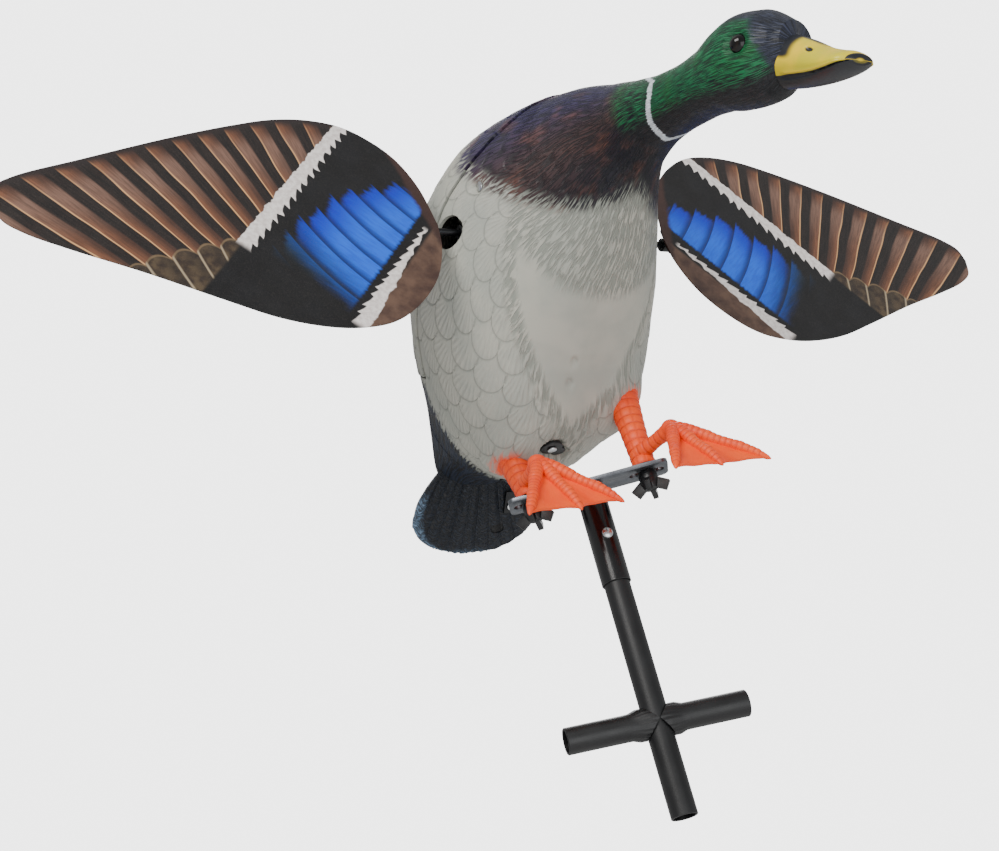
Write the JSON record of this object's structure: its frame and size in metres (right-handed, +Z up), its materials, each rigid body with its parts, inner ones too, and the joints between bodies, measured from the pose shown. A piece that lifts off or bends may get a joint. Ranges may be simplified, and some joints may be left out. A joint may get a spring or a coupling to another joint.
{
  "type": "motion wing decoy",
  "caption": "Spinning-wing drake duck decoy with pull-off printed wings, opening back cover, orange legs on a slotted bracket and a two-part post with foot pegs.",
  "frame": {"origin": "middle of the lower end of the post", "axes": "+Z up the post, the bird faces -Y, its left wing points to +X"},
  "size_m": [0.824, 0.571, 0.5273],
  "materials": {
    "shell": "matte",
    "eye": "gloss",
    "orange": "satin",
    "post": "satin",
    "grey_metal": "brushed",
    "wing_print": "satin print",
    "tail": "matte",
    "battery": "gloss",
    "strap": "woven",
    "board": "satin",
    "button": "satin",
    "steel": "polished",
    "black_plastic": "satin"
  },
  "bodies": {
    "stand_and_bird": {"battery_pack": "battery", "battery_strap": "strap", "belly_plate": "black_plastic", "belly_plate_screw": "steel", "body_shell": "shell", "bracket_bolt": "steel", "bracket_plate": "grey_metal", "button_bezel": "black_plastic", "control_board": "board", "cover_hinge_pin": "steel", "left_eye": "eye", "left_flank_screw": "steel", "left_foot": "orange", "left_foot_peg_arm": "post", "left_leg": "orange", "left_leg_clip": "black_plastic", "left_leg_nut": "steel", "left_motor_end_bell": "black_plastic", "left_shaft_bush": "black_plastic", "lower_post": "post", "motor_can": "steel", "motor_frame": "black_plastic", "motor_strap": "grey_metal", "post_plug": "black_plastic", "power_switch": "black_plastic", "right_eye": "eye", "right_flank_screw": "steel", "right_foot": "orange", "right_foot_peg_arm": "post", "right_leg": "orange", "right_leg_clip": "black_plastic", "right_leg_nut": "steel", "right_motor_end_bell": "black_plastic", "right_shaft_bush": "black_plastic", "shell_magnet": "steel", "tail_fan": "tail", "tail_screw": "steel", "tail_tab": "grey_metal", "upper_post": "post"},
    "rotor": {"wing_shaft": "steel", "right_shaft_magnet": "steel", "left_shaft_magnet": "steel"},
    "right_wing_unit": {"right_wing": "wing_print", "right_wing_socket": "black_plastic", "right_wing_magnet": "steel"},
    "left_wing_unit": {"left_wing": "wing_print", "left_wing_socket": "black_plastic", "left_wing_magnet": "steel"},
    "cover": {"back_cover": "shell", "cover_magnet": "steel"},
    "snap": {"snap_button": "steel", "snap_button_spring": "steel"},
    "power": {"power_button": "button"},
    "right_knob": {"right_foot_knob": "black_plastic"},
    "left_knob": {"left_foot_knob": "black_plastic"}
  },
  "joints": [
    {"name": "wing_spin", "type": "hinge", "parent": "stand_and_bird", "child": "rotor", "pos_m": [0, -0.044, 0.43], "axis": [1, 0, 0], "continuous": true},
    {"name": "right_wing_pull", "type": "slide", "parent": "rotor", "child": "right_wing_unit", "axis": [-1, 0, 0], "range_m": [0, 0.045]},
    {"name": "left_wing_pull", "type": "slide", "parent": "rotor", "child": "left_wing_unit", "axis": [1, 0, 0], "range_m": [0, 0.045]},
    {"name": "back_cover_hinge", "type": "hinge", "parent": "stand_and_bird", "child": "cover", "pos_m": [0, 0.107, 0.4085], "axis": [-1, 0, 0], "range_deg": [0, 100]},
    {"name": "snap_button_press", "type": "slide", "parent": "stand_and_bird", "child": "snap", "axis": [0.2571, 0.9664, 0], "range_m": [0, 0.0034], "stiffness_N_per_m": 900},
    {"name": "power_button_press", "type": "slide", "parent": "stand_and_bird", "child": "power", "axis": [0, -0.4067, 0.9135], "range_m": [0, 0.002], "stiffness_N_per_m": 500},
    {"name": "right_knob_turn", "type": "hinge", "parent": "stand_and_bird", "child": "right_knob", "pos_m": [-0.0362, 0.0232, 0.236], "axis": [0, 0, 1], "continuous": true},
    {"name": "left_knob_turn", "type": "hinge", "parent": "stand_and_bird", "child": "left_knob", "pos_m": [0.0362, -0.0232, 0.236], "axis": [0, 0, 1], "continuous": true}
  ]
}
